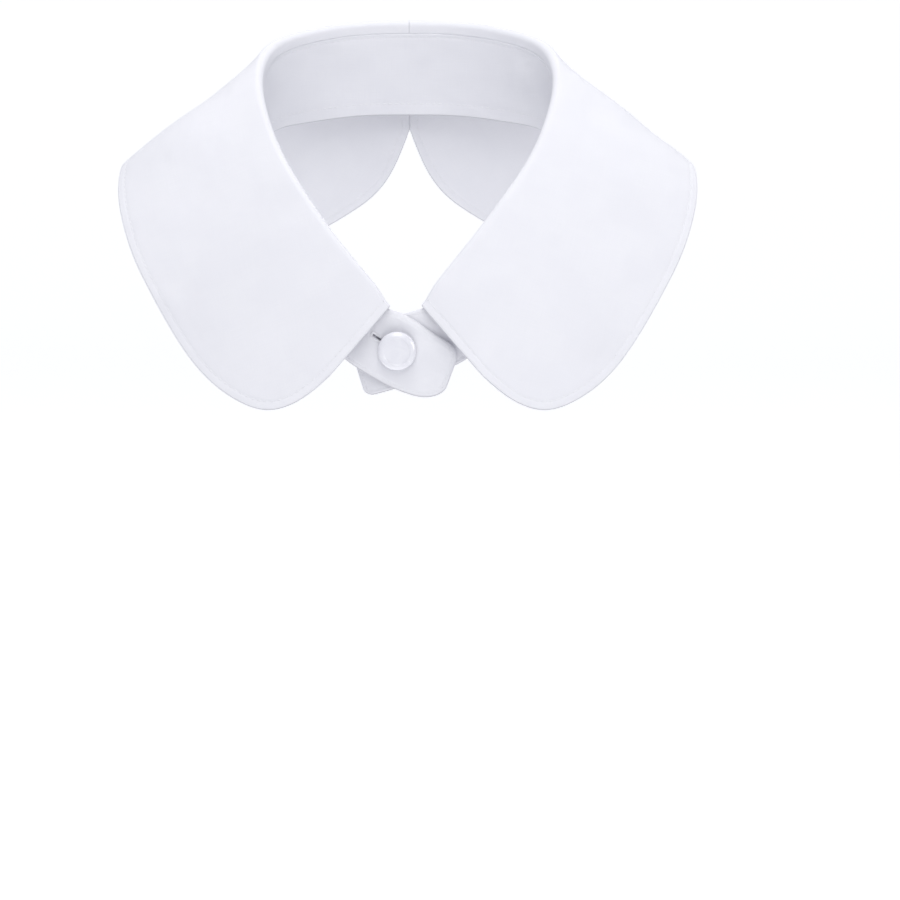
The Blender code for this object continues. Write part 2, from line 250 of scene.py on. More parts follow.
def smooth_curve(knots, values):
    """A natural cubic through the values at the knots, as a function of one or many places."""
    t = np.asarray(knots, float)
    v = np.asarray(values, float).reshape(len(t), -1)
    h = np.diff(t)
    system = np.eye(len(t))
    right = np.zeros_like(v)
    for i in range(1, len(t) - 1):
        system[i, i - 1 : i + 2] = h[i - 1], 2 * (h[i - 1] + h[i]), h[i]
        right[i] = 6 * ((v[i + 1] - v[i]) / h[i] - (v[i] - v[i - 1]) / h[i - 1])
    bend = np.linalg.solve(system, right)

    def at(place):
        x = np.atleast_1d(np.asarray(place, float))
        i = np.clip(np.searchsorted(t, x) - 1, 0, len(t) - 2)
        a, b, w = (t[i + 1] - x)[:, None], (x - t[i])[:, None], h[i][:, None]
        cubic = (bend[i] * a**3 + bend[i + 1] * b**3) / (6 * w)
        return cubic + (v[i] / w - bend[i] * w / 6) * a + (v[i + 1] / w - bend[i + 1] * w / 6) * b

    return at


def unit(vectors):
    return vectors / np.linalg.norm(vectors, axis=-1, keepdims=True)


def smooth_step(x):
    x = np.clip(x, 0.0, 1.0)
    return x * x * (3 - 2 * x)


def chord_lengths(points):
    return np.concatenate([[0.0], np.cumsum(np.linalg.norm(np.diff(points, axis=0), axis=1))])


def roll_line():
    """The whole roll line, over tab to under tab, and the length from the centre back to a leaf's end."""
    under = np.array(ROLL_LINE + UNDER_TAB_LINE)
    over = np.array(ROLL_LINE + OVER_TAB_LINE)
    under_lengths, over_lengths = chord_lengths(under[:, :3]), chord_lengths(over[:, :3])
    over[:, 0] *= OVER
    places = np.concatenate([-over_lengths[:0:-1], under_lengths])
    return smooth_curve(places, np.vstack([over[:0:-1], under])), under_lengths[len(ROLL_LINE) - 1]


ROLL_AT, LEAF_END = roll_line()


def neck_frame(along):
    """Crest, outward normal, downward direction and the row's sizes at places along the roll line."""
    along = np.atleast_1d(np.asarray(along, float))
    row = ROLL_AT(along)
    tangent = unit((ROLL_AT(along + FRAME_REACH) - ROLL_AT(along - FRAME_REACH))[:, :3])
    outward = unit(np.stack([-tangent[:, 1], tangent[:, 0], np.zeros(len(along))], 1))
    down = unit(np.cross(outward, tangent))
    spread = smooth_step((np.abs(along) - SPREAD_START) / (SPREAD_END - SPREAD_START))
    lift = -np.sign(along) * spread * TAB_SPACING / 2
    sizes = Roll(*row.T)
    return row[:, :3] + outward * lift[:, None], outward, down, sizes


def stand_point(along, depth):
    """A point in the middle of the stand's wall, that far below the crest, and the wall's outward normal."""
    crest, outward, down, sizes = neck_frame(along)
    depth = np.atleast_1d(depth)[:, None]
    slope = down * math.cos(STAND_LEAN) + outward * math.sin(STAND_LEAN)
    return crest - outward * sizes.radius[:, None] + slope * depth, outward


def corner_inset(distance, length, depth):
    """How far a rounded corner cuts in, at a distance from the end."""
    near = np.clip(1 - distance / length, 0.0, 1.0)
    return depth * (1 - np.sqrt(1 - near**2))


def crowded(length, count, crowding, width, both=True):
    """Places from 0 to length, closer together near its start, and near its end too if both is true."""
    fine = np.linspace(0, length, 4000)
    load = fine + crowding * width * (1 - np.exp(-fine / width))
    if both:
        load = load + crowding * width * (np.exp((fine - length) / width) - math.exp(-length / width))
    return np.interp(np.linspace(0, load[-1], count), load, fine)


def half_stand(side, tab):
    """Middle surface of one half of the stand, from the centre back to the end of its tab."""
    end = LEAF_END + tab.reach
    corner = max(tab.top_length, tab.foot_length)
    turn = np.linspace(0, math.pi / 2, TAB_END_STATIONS)
    ends = end - corner * (1 - np.sin(turn))
    stations = np.concatenate([np.linspace(0, end - corner, HALF_STAND_STATIONS)[:-1], ends])
    _, _, _, sizes = neck_frame(side * stations)
    from_end = end - stations
    top = sizes.seam + corner_inset(from_end, tab.top_length, tab.top_depth)
    rise, past_leaf = TAB_RISES[side], stations - LEAF_END
    raised = smooth_step((past_leaf + 1.5) / 4.0) * smooth_step((rise.length - past_leaf) / (0.6 * rise.length))
    top = top - rise.height * raised
    foot = sizes.height - corner_inset(from_end, tab.foot_length, tab.foot_depth)
    slant = tab.slant * smooth_step((stations - LEAF_END) / tab.reach)
    shares = crowded(1.0, STAND_ROWS, 12.0, 0.06)
    grid = np.empty((len(stations), STAND_ROWS, 3))
    for j, share in enumerate(shares):
        depth = top + (foot - top) * share
        grid[:, j], _ = stand_point(side * (stations + slant * depth), depth)
    return grid, side * stations, shares


def stand_sheet():
    """Middle surface of the whole stand, with each station's place and each row's share of the height."""
    over, over_places, shares = half_stand(OVER, OVER_TAB)
    under, under_places, _ = half_stand(UNDER, UNDER_TAB)
    grid = np.concatenate([over[:0:-1], under])
    return grid, np.concatenate([over_places[:0:-1], under_places]), shares


def line_distance(points, line):
    """For each point, its distance from a line through many points, and the place of the nearest one."""
    tree = KDTree(len(line))
    for i, spot in enumerate(line):
        tree.insert(spot, i)
    tree.balance()
    flat = points.reshape(-1, 3)
    near = np.array([tree.find(spot)[1] for spot in flat])
    lengths = chord_lengths(line)
    best = np.full(len(flat), np.inf)
    place = np.zeros(len(flat))
    for first in (np.maximum(near - 1, 0), np.minimum(near, len(line) - 2)):
        start, step = line[first], line[first + 1] - line[first]
        share = ((flat - start) * step).sum(1) / np.maximum((step * step).sum(1), 1e-12)
        share = np.clip(share, 0.0, 1.0)
        away = np.linalg.norm(flat - start - step * share[:, None], axis=1)
        closer = away < best
        best[closer] = away[closer]
        place[closer] = (lengths[first] + share * np.linalg.norm(step, axis=1))[closer]
    return best.reshape(points.shape[:-1]), place.reshape(points.shape[:-1])


def leaf_sheet(side):
    """Middle surface of a leaf, with each station's place on the roll line and each point's share of the
    way down: below 0 on the fall inside the roll, then 0 to 1 from the roll to the free edge."""
    table = np.array(LEAF_EDGE)
    lengths = chord_lengths(table[:, 1:4])
    places = crowded(lengths[-1], LEAF_STATIONS, 12.0, 9.0)
    edge = smooth_curve(lengths, table)(places)
    along = edge[:, 0] * LEAF_END / LEAF_LENGTH
    end = edge[:, 1:4] * (side, 1, 1)
    crown = np.radians(edge[:, 4])[:, None]
    crest, outward, down, sizes = neck_frame(side * along)
    settled = (1 - smooth_step((LEAF_END - along) / ROLL_SETTLE_LENGTH))[:, None] * ROLL_SETTLES
    radius = sizes.radius[:, None] - settled * 0.25
    centre = crest + down * (radius + settled)
    reach = end - centre
    fall = np.arctan2((reach * outward).sum(1), (reach * down).sum(1))[:, None] + crown
    seam = crest - outward * sizes.radius[:, None] + down * (sizes.seam + SEAM_TUCK)[:, None]
    top = centre - radius * outward
    rows = [seam + (top - seam) * share for share in crowded(1.0, FALL_ROWS, 4.0, 0.2, both=False)[:-1]]
    for share in np.linspace(0, 1, ROLL_STEPS + 1):
        turn = share * (math.pi - fall)
        rows.append(centre - radius * (np.cos(turn) * outward + np.sin(turn) * down))
    start = rows[-1]
    straight = end - start
    length = np.linalg.norm(straight, axis=1, keepdims=True)
    heading = straight / length
    face = unit(outward - (outward * heading).sum(1)[:, None] * heading)
    leave = np.cos(crown) * heading + np.sin(crown) * face
    arrive = np.cos(crown) * heading - np.sin(crown) * face
    knots = [start, start + leave * length / 3, end - arrive * length / 3, end]

    def down_leaf(share):
        share = share[..., None]
        rest = 1 - share
        a, b, c, d = [knot[:, None] for knot in knots]
        return rest**3 * a + 3 * rest**2 * share * b + 3 * rest * share**2 * c + share**3 * d

    samples = np.linspace(1, 0, 140)
    from_edge, _ = line_distance(down_leaf(np.tile(samples, (len(places), 1))), end)
    shares = np.empty((len(places), LEAF_ROWS))
    for i, away in enumerate(from_edge):
        rising = np.maximum.accumulate(away)
        wanted = crowded(rising[-1], LEAF_ROWS, 18.0, 1.6, both=False)
        shares[i] = np.interp(wanted, rising, samples)[::-1]
    shares[:, 0] = 0.0
    body = down_leaf(shares[:, 1:])
    grid = np.concatenate([np.stack(rows, 1), body], axis=1)
    down_share = np.concatenate([np.full((len(places), len(rows)), 0.0), shares[:, 1:]], axis=1)
    return grid, along, down_share, len(rows)


def slopes(grid, axis):
    """Tangents of an unevenly spaced grid of points along one of its directions."""
    lines = np.moveaxis(grid, axis, 0)
    step = np.diff(lines, axis=0)
    size = np.linalg.norm(step, axis=-1, keepdims=True)
    heading = step / size
    inner = (heading[:-1] * size[1:] + heading[1:] * size[:-1]) / (size[:-1] + size[1:])
    first, last = 2 * heading[:1] - inner[:1], 2 * heading[-1:] - inner[-1:]
    return np.moveaxis(np.concatenate([first, inner, last]), 0, axis)


def grid_normals(grid, outward):
    """Unit normals of a grid of points, turned to the side where outward says."""
    normals = unit(np.cross(slopes(grid, 0), slopes(grid, 1)))
    if (normals[len(normals) // 2, 0] * outward).sum() < 0:
        normals = -normals
    return normals


def calm_corners(grid, normals, rows):
    """Where an outline runs smoothly through a corner of its grid, the normals there come from further in."""
    for i in (0, -1):
        for j in rows:
            away = np.linalg.norm(grid - grid[i, j], axis=-1)
            steady = unit(normals[(away > CALM_RADIUS) & (away < CALM_RADIUS * 1.5)].mean(0))
            share = 1 - smooth_step((away - CALM_RADIUS / 2) / (CALM_RADIUS / 2))
            normals = unit(normals + (steady - normals) * share[..., None])
    return normals


def column_lengths(grid):
    """How far each point is from the first row, along its column."""
    steps = np.linalg.norm(np.diff(grid, axis=1), axis=-1)
    return np.concatenate([np.zeros((len(grid), 1)), np.cumsum(steps, axis=1)], axis=1)


def rounding(distance, width=EDGE_ROUNDING):
    """Half thickness near an edge, as a share of the full one: a quarter of an ellipse."""
    near = np.clip(1 - distance / width, 0.0, 1.0)
    return np.sqrt(1 - near**2)


def bell(distance, width):
    return np.exp(-((distance / width) ** 2))


def swell(grid, length, seed):
    """Slow noise over a grid of points, about -1 to 1."""
    points = (grid / length + seed).reshape(-1, 3)
    return np.array([noise.noise(Vector(point)) for point in points]).reshape(grid.shape[:2]) * 1.6


def crease_relief(grid, creases, spot_on_sheet, seed):
    """Soft uneven troughs and ridges along lines laid on a sheet."""
    relief = np.zeros(grid.shape[:2])
    for number, crease in enumerate(creases):
        t = np.linspace(0, 1, 25)
        bow = 0.04 * np.sin(t * math.pi) * (-1) ** number
        along = crease.along_a + (crease.along_b - crease.along_a) * (t + bow)
        down = crease.down_a + (crease.down_b - crease.down_a) * t
        line = np.array([spot_on_sheet(a, d) for a, d in zip(along, down)])
        away, place = line_distance(grid, line)
        share = place / chord_lengths(line)[-1]
        fade = np.sin(np.clip(share, 0.0, 1.0) * math.pi) ** 0.8 + 0.15
        uneven = 1 + 0.45 * np.sin(share * 7.0 + number * 2.1 + seed)
        relief += crease.depth * fade * uneven * bell(away, crease.width)
    return relief


def shell_mesh(name, grid, normals, front, back, edge, relief=0.0):
    """A closed thin shell: front and back are its half thicknesses. Its rim is one shared line. The
    attribute edge_distance holds each point's distance from the free edge, in metres."""
    stations, rows = grid.shape[:2]
    grid = grid + normals * np.broadcast_to(relief, grid.shape[:2])[..., None]
    outer = grid + normals * front[..., None]
    inner = grid - normals * back[..., None]
    rim = np.zeros((stations, rows), bool)
    rim[[0, -1], :] = True
    rim[:, [0, -1]] = True
    outer[rim] = grid[rim]
    front_index = np.arange(stations * rows).reshape(stations, rows)
    back_index = front_index.copy()
    back_index[~rim] = stations * rows + np.arange((~rim).sum())
    points = np.concatenate([outer.reshape(-1, 3), inner[~rim]]) * MM
    faces = []
    for index, order in ((front_index, 1), (back_index, -1)):
        quads = np.stack([index[:-1, :-1], index[1:, :-1], index[1:, 1:], index[:-1, 1:]], -1)
        faces.append(quads.reshape(-1, 4)[:, ::order])
    mesh = bpy.data.meshes.new(name)
    mesh.from_pydata(points.tolist(), [], np.concatenate(faces).tolist())
    clean = bmesh.new()
    clean.from_mesh(mesh)
    bmesh.ops.recalc_face_normals(clean, faces=clean.faces)
    clean.to_mesh(mesh)
    clean.free()
    values = mesh.attributes.new("edge_distance", "FLOAT", "POINT")
    values.data.foreach_set("value", np.concatenate([edge.reshape(-1), edge[~rim]]) * MM)
    mesh.shade_smooth()
    return mesh, np.concatenate([front_index.reshape(-1), front_index[~rim]])


def flat_pattern(name, grid):
    """The sheet laid flat: its UV places in metres, straight to the grain at its middle."""
    stations, rows = grid.shape[:2]
    index = np.arange(stations * rows).reshape(stations, rows)
    quads = np.stack([index[:-1, :-1], index[1:, :-1], index[1:, 1:], index[:-1, 1:]], -1).reshape(-1, 4)
    mesh = bpy.data.meshes.new(name)
    mesh.from_pydata((grid.reshape(-1, 3) * MM).tolist(), [], quads.tolist())
    piece = bpy.data.objects.new(name, mesh)
    bpy.context.scene.collection.objects.link(piece)
    mesh.uv_layers.new(name="flat")
    for other in bpy.context.selected_objects:
        other.select_set(False)
    piece.select_set(True)
    bpy.context.view_layer.objects.active = piece
    bpy.ops.object.mode_set(mode="EDIT")
    bpy.ops.mesh.select_all(action="SELECT")
    bpy.ops.uv.unwrap(method="ANGLE_BASED", fill_holes=False, margin=0.0)
    bpy.ops.object.mode_set(mode="OBJECT")
    loops = np.zeros(len(mesh.loops) * 2)
    mesh.uv_layers["flat"].data.foreach_get("uv", loops)
    corners = np.zeros(len(mesh.loops), int)
    mesh.loops.foreach_get("vertex_index", corners)
    flat = np.zeros((stations * rows, 2))
    flat[corners] = loops.reshape(-1, 2)
    a, b, c, d = [flat[quads[:, k]] for k in range(4)]
    one, two = c - a, d - b
    flat_area = abs(one[:, 0] * two[:, 1] - one[:, 1] * two[:, 0]).sum() / 2
    a, b, c, d = [grid.reshape(-1, 3)[quads[:, k]] * MM for k in range(4)]
    area = np.linalg.norm(np.cross(c - a, d - b), axis=1).sum() / 2
    bpy.data.objects.remove(piece)
    bpy.data.meshes.remove(mesh)
    flat = flat * math.sqrt(area / flat_area)
    middle = flat.reshape(stations, rows, 2)[:, rows // 3]
    grain = middle[stations // 2 + stations // 12] - middle[stations // 2 - stations // 12]
    turn = -math.atan2(grain[1], grain[0])
    spin = np.array([[math.cos(turn), -math.sin(turn)], [math.sin(turn), math.cos(turn)]])
    flat = flat @ spin.T
    flat -= flat.min(0)
    return flat, area


def put_uv(mesh, flat, sheet_index):
    """Gives each corner of a shell its place on the flat pattern."""
    layer = mesh.uv_layers.new(name="cloth")
    corners = np.zeros(len(mesh.loops), int)
    mesh.loops.foreach_get("vertex_index", corners)
    layer.data.foreach_set("uv", flat[sheet_index[corners]].reshape(-1))


def show(name, mesh, material):
    """A named object with its material, at the origin."""
    mesh.materials.append(material)
    made = bpy.data.objects.new(name, mesh)
    bpy.context.scene.collection.objects.link(made)
    return made


def button_frame():
    """A point on the over tab's outer face under the button, the way out of it and the way along the tab."""
    along = OVER * (LEAF_END + BUTTON_ALONG)
    middle, outward = stand_point(along, BUTTON_DOWN)
    further, _ = stand_point(along - 1.0, BUTTON_DOWN)
    strip = unit(further - middle)[0]
    normal = outward[0] - strip * (outward[0] @ strip)
    normal = normal / np.linalg.norm(normal)
    return middle[0] + normal * STAND_WALL / 2, normal, strip


def make_leaf(name, side, material):
    """One leaf, with rounded turned edges, stitch dips, a seam allowance inside and soft creases."""
    grid, along, down_share, first_row = leaf_sheet(side)
    _, outward, _, _ = neck_frame(side * LEAF_END / 2)
    normals = calm_corners(grid, grid_normals(grid, -outward[0]), (-1,))
    free_edge = np.concatenate([grid[0, :-1], grid[:, -1], grid[-1, :-1][::-1]])
    edge, place = line_distance(grid, free_edge)
    from_seam = column_lengths(grid)
    near_slit = (1 - smooth_step((np.abs(along) - 2.0) / 4.0))[:, None] * (1 - smooth_step((from_seam - 12.0) / 10.0))
    width = EDGE_ROUNDING + (SLIT_ROUNDING - EDGE_ROUNDING) * near_slit
    wall = rounding(edge, width) * rounding(from_seam, SEAM_ROUNDING) * LEAF_WALL / 2
    hang = smooth_step((from_seam - 6.0) / 6.0)
    face = EDGE_PUFF * smooth_step(edge / 0.8) * smooth_step((LEAF_STITCH_INSET - edge) / 1.2)
    face -= STITCH_DIP * bell(edge - LEAF_STITCH_INSET, STITCH_DIP_WIDTH) * hang
    face -= ALLOWANCE_STEP * smooth_step((edge - ALLOWANCE + 1) / 2)
    pucker_noise = [noise.noise(Vector((spot / PUCKER_LENGTH, side * 3.0, 0.5))) for spot in place.flat]
    pucker = np.array(pucker_noise).reshape(place.shape) * bell(edge - LEAF_STITCH_INSET, PUCKER_WIDTH)

    def spot_on_sheet(where, down):
        i = np.abs(along - where).argmin()
        j = first_row + np.abs(down_share[i, first_row:] - down).argmin()
        return grid[i, j]

    relief = crease_relief(grid, LEAF_CREASES[side], spot_on_sheet, side)
    relief += SWELL * swell(grid, SWELL_LENGTH, side * 5.0)
    relief *= smooth_step((from_seam - 5.0) / 14.0) * smooth_step(np.abs(along) / 8.0)[:, None]
    relief += PUCKER * pucker * hang
    bare_edge = edge + near_slit * 8.0
    mesh, sheet_index = shell_mesh(name, grid, normals, wall + face, wall + face, bare_edge, relief)
    flat, area = flat_pattern(name + "_pattern", grid)
    put_uv(mesh, flat, sheet_index)
    return show(name, mesh, material), flat, area, (grid + normals * relief[..., None], normals)


def stand_stitch_inset(along):
    """The stitches follow the top and the tabs' ends closely, and the foot at a wider distance."""
    tabs = smooth_step((np.abs(along) - LEAF_END + 22.0) / 14.0)
    return STAND_FOOT_INSET + (STAND_TOP_INSET - STAND_FOOT_INSET) * tabs


def make_stand(material):
    """The stand with both tabs, dimpled under the button."""
    grid, along, shares = stand_sheet()
    backward = np.array([0.0, 1.0, 0.0])
    normals = calm_corners(grid, grid_normals(grid, backward), (0, -1))
    top, foot = grid[:, 0], grid[:, -1]
    rim = np.concatenate([top, grid[-1, 1:-1], foot[::-1], grid[0, 1:-1][::-1], top[:1]])
    edge, place = line_distance(grid, rim)
    sewn = smooth_step((LEAF_END - 1.0 - np.abs(along)) / 2.0)[:, None] * (column_lengths(grid) < 8.0)
    bare_edge = edge + sewn * 8.0
    on_tab = smooth_step((np.abs(along) - LEAF_END) / 2.0)[:, None]
    low = smooth_step((shares - 0.35) / 0.3)[None, :]
    top_width = SEAM_ROUNDING + (TAB_ROUNDING - SEAM_ROUNDING) * on_tab
    foot_width = EDGE_ROUNDING + (TAB_ROUNDING / 2 - EDGE_ROUNDING) * on_tab
    wall = rounding(edge, top_width + (foot_width - top_width) * low) * STAND_WALL / 2
    inset = STAND_TOP_INSET + (stand_stitch_inset(along)[:, None] - STAND_TOP_INSET) * low
    face = EDGE_PUFF * smooth_step(edge / 0.8) * smooth_step((inset - edge) / 1.0)
    face -= STITCH_DIP * bell(edge - inset, STITCH_DIP_WIDTH)
    pucker_noise = [noise.noise(Vector((spot / PUCKER_LENGTH, 9.0, 0.5))) for spot in place.flat]
    pucker = np.array(pucker_noise).reshape(place.shape) * bell(edge - inset, PUCKER_WIDTH)

    def spot_on_sheet(where, down):
        return grid[np.abs(along - where).argmin(), np.abs(shares - down).argmin()]

    relief = crease_relief(grid, STAND_CREASES, spot_on_sheet, 0.7)
    relief += SWELL * swell(grid, SWELL_LENGTH, 11.0)
    relief *= smooth_step((LEAF_END - 4.0 - np.abs(along)) / 20.0)[:, None]
    relief += TAB_SWELL * swell(grid, SWELL_LENGTH / 3, 4.0) * smooth_step((edge - 1.0) / 4.0)
    relief += PUCKER * pucker
    seat, out, _ = button_frame()
    on_over_tab = (along < -LEAF_END + 30.0)[:, None]
    from_button = grid - seat
    around = from_button - out * (from_button @ out)[..., None]
    inward = np.sign((normals[0, 0] * out).sum())
    dimple = DIMPLE_DEPTH * bell(np.linalg.norm(around, axis=-1), DIMPLE_RADIUS)
    crease_line = np.array([seat + (x, 0.0, -0.03 * x) for x in np.linspace(TAB_RIDGE_START, TAB_RIDGE_END, 9)])
    crease_line -= out * ((crease_line - seat) @ out)[:, None]
    away, along_crease = line_distance(grid - out * (from_button @ out)[..., None], crease_line)
    fade = np.sin(np.clip(along_crease / (TAB_RIDGE_END - TAB_RIDGE_START), 0.0, 1.0) * math.pi)
    fold = TAB_RIDGE_HEIGHT * fade * bell(away, TAB_RIDGE_WIDTH)
    fold = fold * smooth_step((edge - 2.5) / 3.0)
    curl = TAB_CURL * (1 - smooth_step(edge / TAB_CURL_WIDTH)) * smooth_step((-along - LEAF_END) / 4.0)[:, None]
    relief += np.where(on_over_tab, (fold - dimple - curl) * inward, 0.0)
    mesh, sheet_index = shell_mesh("stand_cloth", grid, normals, wall + face, wall + face, bare_edge, relief)
    flat, area = flat_pattern("stand_pattern", grid)
    put_uv(mesh, flat, sheet_index)
    return show("stand_cloth", mesh, material), flat, area, (grid + normals * relief[..., None], normals)


def keyhole_outline(grow=0.0):
    """The buttonhole's outline in the tab's plane: places along the tab and across it, about the shank."""
    half = SLIT_WIDTH / 2 + grow
    radius = HOLE_RADIUS + grow
    mouth = math.asin(half / radius)
    turns = np.linspace(math.pi - mouth, mouth - math.pi, HOLE_POINTS)
    ring = [(radius * math.cos(turn), radius * math.sin(turn)) for turn in turns]
    end = [(-SLIT_END - grow * math.cos(turn), half * math.sin(turn)) for turn in np.linspace(-1.57, 1.57, 9)]
    return np.array(ring + end)


def cut_buttonhole(stand):
    """Cuts the keyhole through the over tab."""
    seat, out, strip = button_frame()
    across = np.cross(out, strip)
    cutter = bmesh.new()
    rings = []
    for height in (-STAND_WALL - 0.55, STAND_WALL):
        ring = [cutter.verts.new((seat + strip * x + across * y + out * height) * MM) for x, y in keyhole_outline()]
        cutter.faces.new(ring)
        rings.append(ring)
    low, high = rings
    for a, b, c, d in zip(low, low[1:] + low[:1], high[1:] + high[:1], high):
        cutter.faces.new((a, b, c, d))
    bmesh.ops.recalc_face_normals(cutter, faces=cutter.faces)
    mesh = bpy.data.meshes.new("buttonhole_cutter")
    cutter.to_mesh(mesh)
    cutter.free()
    tool = bpy.data.objects.new("buttonhole_cutter", mesh)
    bpy.context.scene.collection.objects.link(tool)
    cut = stand.modifiers.new("buttonhole", "BOOLEAN")
    cut.operation = "DIFFERENCE"
    cut.solver = "EXACT"
    cut.object = tool
    before = stand.data
    tree = KDTree(len(before.vertices))
    for vertex in before.vertices:
        tree.insert(vertex.co, vertex.index)
    tree.balance()
    settle(stand)
    bpy.data.objects.remove(tool)
    edge = before.attributes["edge_distance"].data
    for vertex, mended in zip(stand.data.vertices, stand.data.attributes["edge_distance"].data):
        mended.value = edge[tree.find(vertex.co)[1]].value


def settle(piece):
    """Turns an object with modifiers into a plain mesh."""
    evaluated = piece.evaluated_get(bpy.context.evaluated_depsgraph_get())
    mesh = bpy.data.meshes.new_from_object(evaluated)
    piece.modifiers.clear()
    piece.data = mesh


def turned_mesh(name, profile, base, axis, aside):
    """A solid of revolution: radius and height pairs, bottom to top, about an axis through the base."""
    spin = bmesh.new()
    line = [spin.verts.new((base + aside * radius + axis * height) * MM) for radius, height in profile]
    edges = [spin.edges.new(pair) for pair in zip(line, line[1:])]
    bmesh.ops.spin(
        spin,
        geom=line + edges,
        cent=tuple(base * MM),
        axis=tuple(axis),
        angle=2 * math.pi,
        steps=BUTTON_SIDES,
        use_merge=True,
    )
    bmesh.ops.remove_doubles(spin, verts=spin.verts, dist=1e-6)
    bmesh.ops.recalc_face_normals(spin, faces=spin.faces)
    mesh = bpy.data.meshes.new(name)
    spin.to_mesh(mesh)
    spin.free()
    mesh.shade_smooth()
    return mesh


def make_button(material):
    """A flat-faced round cap with a rounded rim, on a shank that goes through the buttonhole."""
    seat, out, strip = button_frame()
    shank_foot = SEAM_GAP - TAB_SPACING
    rim = BUTTON_LIFT + RIM_HEIGHT
    profile = [(0.0, shank_foot), (SHANK_RADIUS - 0.3, shank_foot), (SHANK_RADIUS, shank_foot + 0.3)]
    profile += [(SHANK_RADIUS, BUTTON_LIFT - 0.2), (SHANK_RADIUS + 0.3, BUTTON_LIFT)]
    profile += [(BACK_RADIUS, BUTTON_LIFT), (BUTTON_RADIUS - 0.35, rim - 0.55)]
    for turn in np.linspace(-0.4, math.pi / 2, RIM_STEPS):
        radius = BUTTON_FLAT_RADIUS + (BUTTON_RADIUS - BUTTON_FLAT_RADIUS) * math.cos(turn)
        profile.append((radius, rim + (BUTTON_HEIGHT - RIM_HEIGHT) * math.sin(turn)))
    top = BUTTON_LIFT + BUTTON_HEIGHT
    for inward, drop in ((0.06, 0.01), (0.14, 0.06), (0.20, FACE_DROP - 0.03), (0.30, FACE_DROP), (1.0, FACE_DROP)):
        profile.append((BUTTON_FLAT_RADIUS - inward, top - drop))
    profile += [(BUTTON_FLAT_RADIUS / 2, top - FACE_DROP), (0.0, top - FACE_DROP)]
    return show("button_pearl", turned_mesh("button_pearl", profile, seat, out, strip), material)


def even_places(line, pitch):
    """Places along a line, a stitch apart, starting half a stitch in."""
    total = chord_lengths(line)[-1]
    count = max(2, int(total / pitch))
    return (np.arange(count) + 0.5) * total / count


def along_line(line, places):
    lengths = chord_lengths(line)
    return np.stack([np.interp(places, lengths, line[:, k]) for k in range(3)], 1)


def stitch_points(line, ups, cloth):
    """Places, directions and up-vectors of stitches along a line laid on a cloth, on both its faces."""
    surface = BVHTree.FromObject(cloth, bpy.context.evaluated_depsgraph_get())
    places = even_places(line, STITCH_PITCH)
    lengths = chord_lengths(line)
    spots = along_line(line, places)
    headings = unit(along_line(line, places + 0.3) - along_line(line, places - 0.3))
    made = []
    for place, spot, heading in zip(places, spots, headings):
        up = ups[min(np.searchsorted(lengths, place), len(ups) - 1)]
        for face in (1, -1):
            hit, normal, _, _ = surface.ray_cast(Vector(spot * MM), Vector(up * face), LEAF_WALL * MM)
            if hit is not None:
                made.append((np.array(hit), heading, np.array(normal)))
    return made


